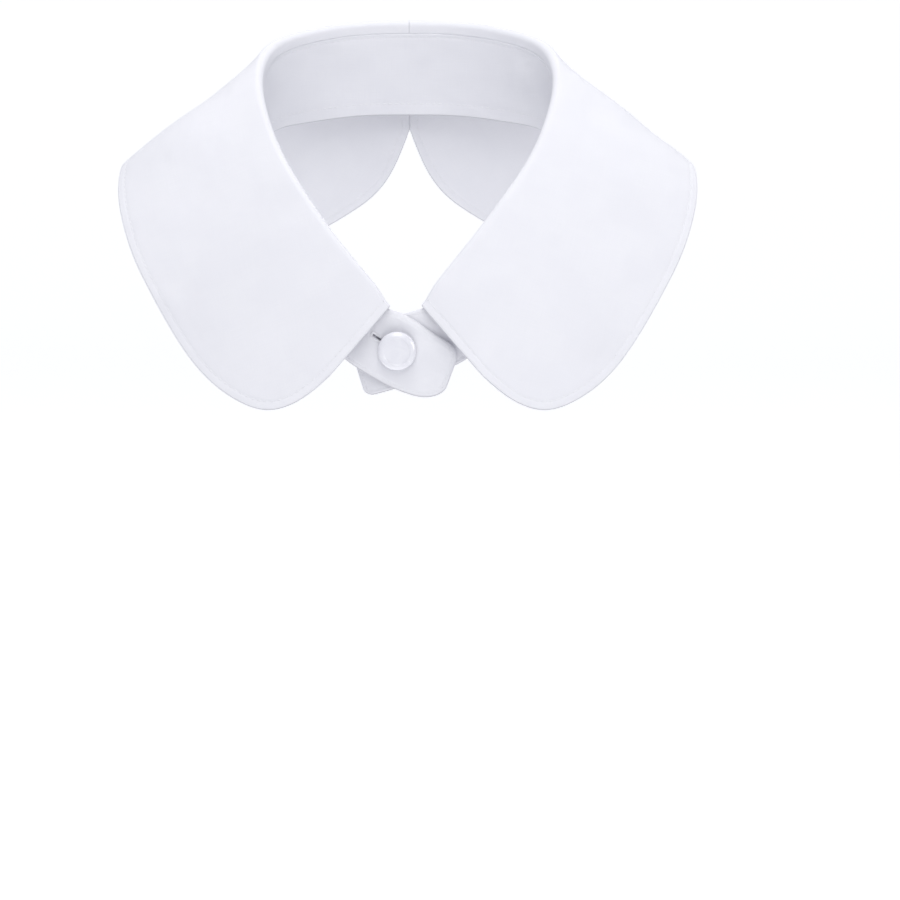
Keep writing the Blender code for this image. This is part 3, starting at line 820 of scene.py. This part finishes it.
def stitch_tree():
    """Geometry nodes that lay one bent piece of thread at every point."""
    tree = bpy.data.node_groups.new("stitch_row", "GeometryNodeTree")
    tree.interface.new_socket("Geometry", in_out="INPUT", socket_type="NodeSocketGeometry")
    for name in ("Stitch Length", "Thread Radius", "Rise", "Sink", "End Shade"):
        tree.interface.new_socket(name, in_out="INPUT", socket_type="NodeSocketFloat")
    tree.interface.new_socket("Thread", in_out="INPUT", socket_type="NodeSocketMaterial")
    tree.interface.new_socket("Geometry", in_out="OUTPUT", socket_type="NodeSocketGeometry")
    nodes, links = tree.nodes, tree.links
    given = nodes.new("NodeGroupInput")
    half = nodes.new("ShaderNodeMath")
    half.operation = "MULTIPLY"
    half.inputs[1].default_value = 0.5
    links.new(given.outputs["Stitch Length"], half.inputs[0])
    back = nodes.new("ShaderNodeMath")
    back.operation = "MULTIPLY"
    back.inputs[1].default_value = -0.5
    links.new(given.outputs["Stitch Length"], back.inputs[0])
    below = nodes.new("ShaderNodeMath")
    below.operation = "MULTIPLY"
    below.inputs[1].default_value = -1.0
    links.new(given.outputs["Sink"], below.inputs[0])
    bend = nodes.new("GeometryNodeCurveQuadraticBezier")
    bend.inputs["Resolution"].default_value = 5
    for socket, run, rise in (
        ("Start", back.outputs[0], below.outputs[0]),
        ("Middle", None, given.outputs["Rise"]),
        ("End", half.outputs[0], below.outputs[0]),
    ):
        corner = nodes.new("ShaderNodeCombineXYZ")
        if run is not None:
            links.new(run, corner.inputs["X"])
        links.new(rise, corner.inputs["Z"])
        links.new(corner.outputs[0], bend.inputs[socket])
    ring = nodes.new("GeometryNodeCurvePrimitiveCircle")
    ring.inputs["Resolution"].default_value = 6
    links.new(given.outputs["Thread Radius"], ring.inputs["Radius"])
    tube = nodes.new("GeometryNodeCurveToMesh")
    tube.inputs["Fill Caps"].default_value = True
    # The run attribute, each point's place along its stitch spread by End Shade, tells the thread material where to
    # paint shade on the stitch ends.
    run = nodes.new("GeometryNodeStoreNamedAttribute")
    run.data_type = "FLOAT"
    run.domain = "POINT"
    run.inputs["Name"].default_value = "run"
    share = nodes.new("GeometryNodeSplineParameter")
    links.new(bend.outputs[0], run.inputs["Geometry"])
    spread = nodes.new("ShaderNodeMath")
    spread.operation = "MULTIPLY_ADD"
    spread.inputs[2].default_value = 0.5
    centred = nodes.new("ShaderNodeMath")
    centred.operation = "SUBTRACT"
    centred.inputs[1].default_value = 0.5
    links.new(share.outputs["Factor"], centred.inputs[0])
    links.new(centred.outputs[0], spread.inputs[0])
    links.new(given.outputs["End Shade"], spread.inputs[1])
    links.new(spread.outputs[0], run.inputs["Value"])
    links.new(run.outputs[0], tube.inputs["Curve"])
    links.new(ring.outputs[0], tube.inputs["Profile Curve"])
    smooth = nodes.new("GeometryNodeSetShadeSmooth")
    links.new(tube.outputs[0], smooth.inputs["Geometry"])
    turn = nodes.new("FunctionNodeAxesToRotation")
    turn.primary_axis = "Z"
    turn.secondary_axis = "X"
    for attribute, socket in (("up", "Primary Axis"), ("heading", "Secondary Axis")):
        read = nodes.new("GeometryNodeInputNamedAttribute")
        read.data_type = "FLOAT_VECTOR"
        read.inputs["Name"].default_value = attribute
        links.new(read.outputs["Attribute"], turn.inputs[socket])
    points = nodes.new("GeometryNodeMeshToPoints")
    links.new(given.outputs["Geometry"], points.inputs["Mesh"])
    lay = nodes.new("GeometryNodeInstanceOnPoints")
    links.new(points.outputs[0], lay.inputs["Points"])
    links.new(smooth.outputs[0], lay.inputs["Instance"])
    links.new(turn.outputs[0], lay.inputs["Rotation"])
    real = nodes.new("GeometryNodeRealizeInstances")
    links.new(lay.outputs[0], real.inputs[0])
    dress = nodes.new("GeometryNodeSetMaterial")
    links.new(real.outputs[0], dress.inputs["Geometry"])
    links.new(given.outputs["Thread"], dress.inputs["Material"])
    out = nodes.new("NodeGroupOutput")
    links.new(dress.outputs[0], out.inputs[0])
    return tree


def make_stitches(name, stitches, tree, material, length=STITCH_LENGTH, end_shade=1.0):
    """One object with all stitches of a seam. end_shade sets how much painted shade darkens their ends, where they go
    into the needle holes.
    """
    mesh = bpy.data.meshes.new(name)
    mesh.from_pydata([tuple(spot) for spot, _, _ in stitches], [], [])
    for attribute, part in (("heading", 1), ("up", 2)):
        layer = mesh.attributes.new(attribute, "FLOAT_VECTOR", "POINT")
        layer.data.foreach_set("vector", np.array([row[part] for row in stitches]).reshape(-1))
    piece = bpy.data.objects.new(name, mesh)
    bpy.context.scene.collection.objects.link(piece)
    row = piece.modifiers.new("stitches", "NODES")
    row.node_group = tree
    values = {
        "Stitch Length": length * MM,
        "Thread Radius": THREAD_RADIUS * MM,
        "Rise": STITCH_RISE * MM,
        "Sink": STITCH_SINK * MM,
        "End Shade": end_shade,
        "Thread": material,
    }
    for socket in tree.interface.items_tree:
        if socket.in_out == "INPUT" and socket.name in values:
            row[socket.identifier] = values[socket.name]
    settle(piece)
    return piece


def inset_line(rim, normals, toward, inset, closed=False):
    """A line in the sheet that follows its rim at a distance, smooth where the rim has a corner."""
    lengths = chord_lengths(rim)
    places = np.linspace(0, lengths[-1], int(lengths[-1] / LINE_STEP))
    spots, ups = along_line(rim, places), unit(np.stack([np.interp(places, lengths, n) for n in normals.T], 1))
    away = np.interp(places, lengths, np.broadcast_to(inset, len(rim)))
    heading = slopes(spots[:, None], 0)[:, 0]
    window = np.hanning(CORNER_BLEND)
    reach = len(window) // 2
    padded = np.concatenate([heading[-reach:], heading, heading[:reach]])
    if not closed:
        padded[:reach], padded[-reach:] = heading[0], heading[-1]
    heading = np.stack([np.convolve(part, window, "valid") for part in padded.T], 1)
    inward = unit(np.cross(ups, heading))
    inside = np.stack([np.interp(places, lengths, part) for part in toward.T], 1)
    if np.median((inside * inward).sum(1)) < 0:
        inward = -inward
    return spots + inward * away[:, None], ups


def rim_of(values, first=0, closed=False):
    """The values along the rim of a sheet's grid: down its first column, along its last row and up its
    last column, from one row on, or all the way round from the first row if it is closed."""
    if closed:
        return np.concatenate([values[:, 0], values[-1, 1:-1], values[::-1, -1], values[0, 1:-1][::-1]])
    return np.concatenate([values[0, first:-1], values[:, -1], values[-1, first:-1][::-1]])


def toward_middle(grid):
    """For each point of a grid, the way to the point that is some rows and columns nearer the middle."""
    i = np.arange(grid.shape[0])
    j = np.arange(grid.shape[1])
    i = i + np.sign(grid.shape[0] // 2 - i) * 3
    j = j + np.sign(grid.shape[1] // 2 - j) * 3
    return grid[np.clip(i, 0, grid.shape[0] - 1)][:, np.clip(j, 0, grid.shape[1] - 1)] - grid


def leaf_stitches(cloth, sheet, tree, material, name):
    """The topstitching of a leaf, along its slit edge, its free edge and its front edge."""
    grid, normals = sheet
    first = FALL_ROWS + ROLL_STEPS // 2
    rims = [rim_of(values, first) for values in (grid, normals, toward_middle(grid))]
    line, ups = inset_line(*rims, LEAF_STITCH_INSET)
    return make_stitches(name, stitch_points(line, ups, cloth), tree, material)


def stand_stitches(cloth, sheet, along, tree, material):
    """The stitching of the stand, all the way round it."""
    grid, normals = sheet
    rims = [rim_of(values, closed=True) for values in (grid, normals, toward_middle(grid))]
    inset = np.full(grid.shape[:2], STAND_TOP_INSET)
    inset[:, -1] = stand_stitch_inset(along)
    line, ups = inset_line(*rims, rim_of(inset, closed=True), closed=True)
    return make_stitches("stand_stitches", stitch_points(line, ups, cloth), tree, material)


def buttonhole_stitches(cloth, tree, material):
    """Close stitches across the cut edge of the keyhole, on both faces of the over tab."""
    seat, out, strip = button_frame()
    across = np.cross(out, strip)
    outline = keyhole_outline(PURL_INSET)
    outline = np.concatenate([outline, outline[:1]])
    line = seat + strip * outline[:, :1] + across * outline[:, 1:]
    places = even_places(line, PURL_PITCH)
    spots = along_line(line, places)
    total = chord_lengths(line)[-1]
    ahead = along_line(line, (places + 0.3) % total) - along_line(line, (places - 0.3) % total)
    radial = unit(np.cross(unit(ahead), out))
    surface = BVHTree.FromObject(cloth, bpy.context.evaluated_depsgraph_get())
    stitches = []
    for spot, heading in zip(spots, radial):
        front, normal, _, _ = surface.ray_cast(Vector((spot + out) * MM), Vector(-out), 0.003)
        stitches.append((np.array(front), heading, np.array(normal)))
        inside = front - Vector(out) * STAND_WALL / 2 * MM
        behind, normal, _, _ = surface.ray_cast(inside, Vector(-out), 0.003)
        stitches.append((np.array(behind), heading, np.array(normal)))
    return make_stitches("buttonhole_stitches", stitches, tree, material, PURL_LENGTH, end_shade=0.3)


class Shader:
    """A material or shader group under construction, with short ways to add and join nodes."""

    def __init__(self, tree):
        self.nodes, self.links = tree.nodes, tree.links

    def add(self, kind, inputs=(), **settings):
        node = self.nodes.new(kind)
        for name, value in settings.items():
            setattr(node, name, value)
        for socket, value in dict(inputs).items():
            if isinstance(value, bpy.types.NodeSocket):
                self.links.new(value, node.inputs[socket])
            else:
                node.inputs[socket].default_value = value
        return node

    def math(self, operation, a, b=0.0, clamp=False):
        return self.add("ShaderNodeMath", {0: a, 1: b}, operation=operation, use_clamp=clamp).outputs[0]

    def ramp(self, value, low, high, low_out=0.0, high_out=1.0):
        inputs = {"Value": value, "From Min": low, "From Max": high, "To Min": low_out, "To Max": high_out}
        return self.add("ShaderNodeMapRange", inputs, interpolation_type="SMOOTHSTEP").outputs["Result"]


def weave_group():
    """A plain weave from places on the flat cloth: its height, and the unevenness of its yarns."""
    tree = bpy.data.node_groups.new("plain_weave", "ShaderNodeTree")
    face = tree.interface
    face.new_socket("Place", in_out="INPUT", socket_type="NodeSocketVector")
    face.new_socket("Yarns per Metre", in_out="INPUT", socket_type="NodeSocketFloat")
    face.new_socket("Height", in_out="OUTPUT", socket_type="NodeSocketFloat")
    face.new_socket("Slub", in_out="OUTPUT", socket_type="NodeSocketFloat")
    made = Shader(tree)
    given = made.add("NodeGroupInput")
    scaled = made.add("ShaderNodeVectorMath", {0: given.outputs["Place"], "Scale": given.outputs[1]}, operation="SCALE")
    parts = made.add("ShaderNodeSeparateXYZ", {0: scaled.outputs["Vector"]})
    wander = made.add("ShaderNodeTexNoise", {"Vector": scaled.outputs["Vector"], "Scale": 0.15, "Detail": 1.0})
    shift = made.ramp(wander.outputs[0], 0.0, 1.0, -0.8, 0.8)
    waves = []
    slubs = []
    for axis, stretch in (("X", (1.0, 0.03, 1.0)), ("Y", (0.03, 1.0, 1.0))):
        place = made.math("ADD", parts.outputs[axis], shift)
        wave = made.math("SINE", made.math("MULTIPLY", place, math.pi))
        waves.append(wave)
        long_way = made.add("ShaderNodeVectorMath", {0: scaled.outputs["Vector"], 1: stretch}, operation="MULTIPLY")
        slub = made.add("ShaderNodeTexNoise", {"Vector": long_way.outputs[0], "Scale": 1.0, "Detail": 1.0})
        slubs.append(slub.outputs[0])
    bumps = made.math("ABSOLUTE", made.math("MULTIPLY", *waves))
    slub = made.math("MULTIPLY", made.math("ADD", *slubs), 0.5)
    height = made.math("MULTIPLY", bumps, made.ramp(slub, 0.3, 0.7, 0.6, 1.2))
    made.add("NodeGroupOutput", {"Height": height, "Slub": slub})
    return tree


def crumple_group():
    """Faint press marks and softness of worn cotton, from object places: a height and a shade."""
    tree = bpy.data.node_groups.new("soft_crumple", "ShaderNodeTree")
    face = tree.interface
    face.new_socket("Place", in_out="INPUT", socket_type="NodeSocketVector")
    face.new_socket("Height", in_out="OUTPUT", socket_type="NodeSocketFloat")
    face.new_socket("Shade", in_out="OUTPUT", socket_type="NodeSocketFloat")
    made = Shader(tree)
    given = made.add("NodeGroupInput")
    broad = made.add("ShaderNodeTexNoise", {"Vector": given.outputs[0], "Scale": 60.0, "Detail": 2.0, "Roughness": 0.45})
    small = made.add("ShaderNodeTexNoise", {"Vector": given.outputs[0], "Scale": 260.0, "Detail": 3.0})
    height = made.math("ADD", broad.outputs[0], made.math("MULTIPLY", small.outputs[0], 0.25))
    shade = made.ramp(broad.outputs[0], 0.3, 0.7)
    made.add("NodeGroupOutput", {"Height": height, "Shade": shade})
    return tree


def new_material(name):
    material = bpy.data.materials.new(name)
    material.use_nodes = True
    return material, Shader(material.node_tree), material.node_tree.nodes["Principled BSDF"]


def cotton_material(weave, crumple):
    """White poplin: weave, slubs, faint press marks, a paler turned edge that is partly painted light, and a line of
    painted shade along the edges where they face down.
    """
    material, made, shader = new_material("cotton_poplin")
    uv = made.add("ShaderNodeUVMap", uv_map="cloth")
    objects = made.add("ShaderNodeTexCoord")
    cloth = made.add("ShaderNodeGroup", node_tree=weave)
    made.links.new(uv.outputs[0], cloth.inputs["Place"])
    cloth.inputs["Yarns per Metre"].default_value = 3800.0
    marks = made.add("ShaderNodeGroup", node_tree=crumple)
    made.links.new(objects.outputs["Object"], marks.inputs["Place"])
    edge = made.add("ShaderNodeAttribute", attribute_name="edge_distance").outputs["Fac"]
    # Painted shade: a thin dark line along the free edges, from 0.15 to 1.1 mm in; finish_cotton lays it only where the
    # surface faces down.
    painted_edge_shade = made.ramp(edge, 0.00015, 0.00110, 1.0, 0.0)
    # A paler strip up to 2.2 to 3.4 mm in from the free edges, over the seam allowance: partly the doubled cloth,
    # partly painted light where less shade falls near the edge.
    ply_and_light_paling = made.ramp(edge, 0.0022, 0.0034, 1.0, 0.0)
    tone = made.add(
        "ShaderNodeMix",
        {"Factor": cloth.outputs["Slub"], "A": (0.81, 0.81, 0.85, 1.0), "B": (0.87, 0.87, 0.905, 1.0)},
        data_type="RGBA",
    )
    return material, made, shader, cloth, marks, painted_edge_shade, ply_and_light_paling, tone


def finish_cotton(parts):
    material, made, shader, cloth, marks, painted_edge_shade, ply_and_light_paling, tone = parts
    mixes = [node for node in made.nodes if node.bl_idname == "ShaderNodeMix"]
    del mixes
    shaded = colour_mix(made, made.ramp(marks.outputs["Shade"], 0.0, 1.0, 0.0, 0.35), tone, (0.80, 0.80, 0.845, 1.0))
    # Partly painted light: the strip along the edges is made a little paler.
    paled_by_ply_and_light = colour_mix(made, made.math("MULTIPLY", ply_and_light_paling, 0.05), shaded, (0.89, 0.89, 0.92, 1.0))
    # Painted shade: the dark line along the edges shows only where the surface faces down, as their undersides fall in
    # shade.
    height = made.add("ShaderNodeSeparateXYZ", {0: made.add("ShaderNodeTexCoord").outputs["Normal"]}).outputs["Z"]
    shade_facing_down = made.ramp(height, -0.8, -0.1, 0.75, 0.05)
    edge_shaded = colour_mix(made, made.math("MULTIPLY", painted_edge_shade, shade_facing_down), paled_by_ply_and_light, (0.42, 0.42, 0.45, 1.0))
    made.links.new(edge_shaded, shader.inputs["Base Color"])
    rough = made.ramp(cloth.outputs["Slub"], 0.3, 0.7, 0.78, 0.92)
    made.links.new(rough, shader.inputs["Roughness"])
    shader.inputs["Specular IOR Level"].default_value = 0.25
    shader.inputs["Sheen Weight"].default_value = 0.12
    shader.inputs["Sheen Roughness"].default_value = 0.5
    press = made.add("ShaderNodeBump", {"Strength": 0.5, "Distance": 0.00035, "Height": marks.outputs["Height"]})
    bump = made.add(
        "ShaderNodeBump",
        {"Strength": 0.35, "Distance": 0.00006, "Height": cloth.outputs["Height"], "Normal": press.outputs[0]},
    )
    made.links.new(bump.outputs[0], shader.inputs["Normal"])
    return material


def colour_mix(made, factor, first, second):
    """Mixes two colours, each a node or a plain colour."""
    node = made.add("ShaderNodeMix", data_type="RGBA")
    made.links.new(factor, node.inputs["Factor"])
    for socket, value in ((node.inputs[6], first), (node.inputs[7], second)):
        if isinstance(value, bpy.types.Node):
            made.links.new(value.outputs[2], socket)
        elif isinstance(value, bpy.types.NodeSocket):
            made.links.new(value, socket)
        else:
            socket.default_value = value
    return node.outputs[2]


def thread_material():
    """White sewing cotton, a little shinier than the cloth, with its plies as a fine slanting bump and painted shade on
    the ends of each stitch.
    """
    material, made, shader = new_material("sewing_thread")
    place = made.add("ShaderNodeTexCoord").outputs["Object"]
    plies = made.add("ShaderNodeTexWave", {"Vector": place, "Scale": 900.0, "Distortion": 1.0})
    fuzz = made.add("ShaderNodeTexNoise", {"Vector": place, "Scale": 3000.0})
    colour = colour_mix(made, fuzz.outputs[0], (0.76, 0.76, 0.80, 1.0), (0.90, 0.90, 0.92, 1.0))
    run = made.add("ShaderNodeAttribute", attribute_name="run").outputs["Fac"]
    from_middle = made.math("ABSOLUTE", made.math("SUBTRACT", run, 0.5))
    # Painted shade: the ends of each stitch, where they go into the needle holes, are darkened.
    painted_hole_shade = made.ramp(from_middle, 0.30, 0.48, 0.0, 0.5)
    made.links.new(colour_mix(made, painted_hole_shade, colour, (0.30, 0.30, 0.34, 1.0)), shader.inputs["Base Color"])
    shader.inputs["Roughness"].default_value = 0.6
    shader.inputs["Sheen Weight"].default_value = 0.1
    bump = made.add("ShaderNodeBump", {"Strength": 0.4, "Distance": 0.00005, "Height": plies.outputs[1]})
    made.links.new(bump.outputs[0], shader.inputs["Normal"])
    return material


def pearl_material():
    """Glossy white shell: faint clouded layers under a clear polished face."""
    material, made, shader = new_material("white_pearl")
    place = made.add("ShaderNodeTexCoord").outputs["Object"]
    cloud = made.add("ShaderNodeTexNoise", {"Vector": place, "Scale": 180.0, "Detail": 3.0, "Distortion": 1.2})
    colour = colour_mix(made, made.ramp(cloud.outputs[0], 0.35, 0.65), (0.81, 0.81, 0.86, 1.0), (0.84, 0.84, 0.885, 1.0))
    made.links.new(colour, shader.inputs["Base Color"])
    made.links.new(made.ramp(cloud.outputs[0], 0.3, 0.7, 0.16, 0.22), shader.inputs["Roughness"])
    shader.inputs["Coat Weight"].default_value = 0.5
    shader.inputs["Coat Roughness"].default_value = 0.08
    wear = made.add("ShaderNodeTexNoise", {"Vector": place, "Scale": 900.0, "Detail": 4.0})
    bump = made.add("ShaderNodeBump", {"Strength": 0.12, "Distance": 0.00004, "Height": wear.outputs[0]})
    made.links.new(bump.outputs[0], shader.inputs["Normal"])
    return material


def floor_material():
    material, made, shader = new_material("studio_floor")
    place = made.add("ShaderNodeTexCoord").outputs["Object"]
    cloud = made.add("ShaderNodeTexNoise", {"Vector": place, "Scale": 2.0})
    colour = colour_mix(made, cloud.outputs[0], (0.93, 0.93, 0.93, 1.0), (0.95, 0.95, 0.95, 1.0))
    made.links.new(colour, shader.inputs["Base Color"])
    shader.inputs["Roughness"].default_value = 0.9
    shader.inputs["Specular IOR Level"].default_value = 0.1
    shader.inputs["Emission Color"].default_value = (1.0, 1.0, 1.0, 1.0)
    shader.inputs["Emission Strength"].default_value = FLOOR_GLOW
    return material


def studio(material):
    """A pale floor that runs up into a backdrop, well below and behind the collar."""
    mesh = bpy.data.meshes.new("studio_sweep")
    sweep = bmesh.new()
    floor_height, wide, front, back, bend = -0.45, 6.0, -7.0, 3.0, 1.2
    profile = [(front, floor_height), (back, floor_height)]
    for turn in np.linspace(0, math.pi / 2, 17)[1:]:
        profile.append((back + bend * math.sin(turn), floor_height + bend * (1 - math.cos(turn))))
    profile.append((back + bend, 5.0))
    lines = [[sweep.verts.new((side * wide, y, z)) for y, z in profile] for side in (-1, 1)]
    left, right = lines
    for a, b, c, d in zip(left, right, right[1:], left[1:]):
        sweep.faces.new((a, b, c, d))
    bmesh.ops.recalc_face_normals(sweep, faces=sweep.faces)
    sweep.to_mesh(mesh)
    sweep.free()
    mesh.shade_smooth()
    floor = show("studio_sweep", mesh, material)
    floor.visible_diffuse = False
    floor.visible_shadow = False


def area_light(name, place, size, power, glossy=True, diffuse=True):
    """A round lamp that shines on the middle of the collar."""
    light = bpy.data.lights.new(name, "AREA")
    light.shape = "DISK"
    light.size = size
    light.energy = power
    light.color = LAMP_COLOUR
    lamp = bpy.data.objects.new(name, light)
    lamp.location = place
    lamp.rotation_euler = (-Vector(place)).to_track_quat("-Z", "Y").to_euler()
    lamp.visible_camera = False
    lamp.visible_glossy = glossy
    lamp.visible_diffuse = diffuse
    bpy.context.scene.collection.objects.link(lamp)


def light_and_camera():
    scene = bpy.context.scene
    world = bpy.data.worlds.new("studio_air")
    world.use_nodes = True
    world.node_tree.nodes["Background"].inputs["Color"].default_value = (0.91, 0.93, 1.0, 1.0)
    world.node_tree.nodes["Background"].inputs["Strength"].default_value = AIR_STRENGTH
    scene.world = world
    area_light("top", (0.0, -0.3, 1.6), 1.0, 13.9)
    area_light("top_front", (0.0, -1.2, 1.2), 1.0, 5.1)
    area_light("low_front", (0.0, -0.9, -1.0), 1.0, 7.0, glossy=False)
    area_light("low_fill", (0.0, 0.0, -1.3), 1.0, 3.6, glossy=False)
    area_light("right", (1.5, -0.4, 0.3), 0.6, 1.6, glossy=False)
    area_light("sheen", (1.5, -0.5, 0.4), 1.0, 15.0, diffuse=False)
    camera = bpy.data.objects.new("camera", bpy.data.cameras.new("camera"))
    camera.data.lens = CAMERA_LENS
    camera.data.sensor_width = 36.0
    camera.location = CAMERA_PLACE
    camera.rotation_euler = (math.radians(CAMERA_PITCH), 0.0, 0.0)
    scene.collection.objects.link(camera)
    scene.camera = camera
    scene.view_settings.view_transform = "Standard"


def declare_sheet(piece, node, size, area, stitches):
    """Rides the cloth and its stitches on the collar and hides the imported part it stands for; size and area are not
    used.
    """
    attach(piece, "root")
    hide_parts(node)
    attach(stitches, "root")


def strip_size(grid):
    """Width and length in metres of a strip that is cut on a curve, measured along it."""
    return column_lengths(grid)[:, -1].max() * MM, chord_lengths(grid[:, grid.shape[1] // 2])[-1] * MM


def build():
    weave, crumple = weave_group(), crumple_group()
    cotton = finish_cotton(cotton_material(weave, crumple))
    thread, pearl = thread_material(), pearl_material()
    tree = stitch_tree()
    for name, side in (("leaf_left", UNDER), ("leaf_right", OVER)):
        piece, flat, area, sheet = make_leaf(name + "_cloth", side, cotton)
        stitches = leaf_stitches(piece, sheet, tree, thread, name + "_stitches")
        declare_sheet(piece, name, flat.max(0) - flat.min(0), area, stitches)
    stand, flat, area, sheet = make_stand(cotton)
    _, along, _ = stand_sheet()
    stitches = stand_stitches(stand, sheet, along, tree, thread)
    purl = buttonhole_stitches(stand, tree, thread)
    cut_buttonhole(stand)
    declare_sheet(stand, "stand", strip_size(sheet[0]), area, stitches)
    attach(purl, "root")
    button = make_button(pearl)
    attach(button, "root")
    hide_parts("button")
    studio(floor_material())
    light_and_camera()


def write_sizes():
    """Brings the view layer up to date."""
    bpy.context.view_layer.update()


build()
write_sizes()
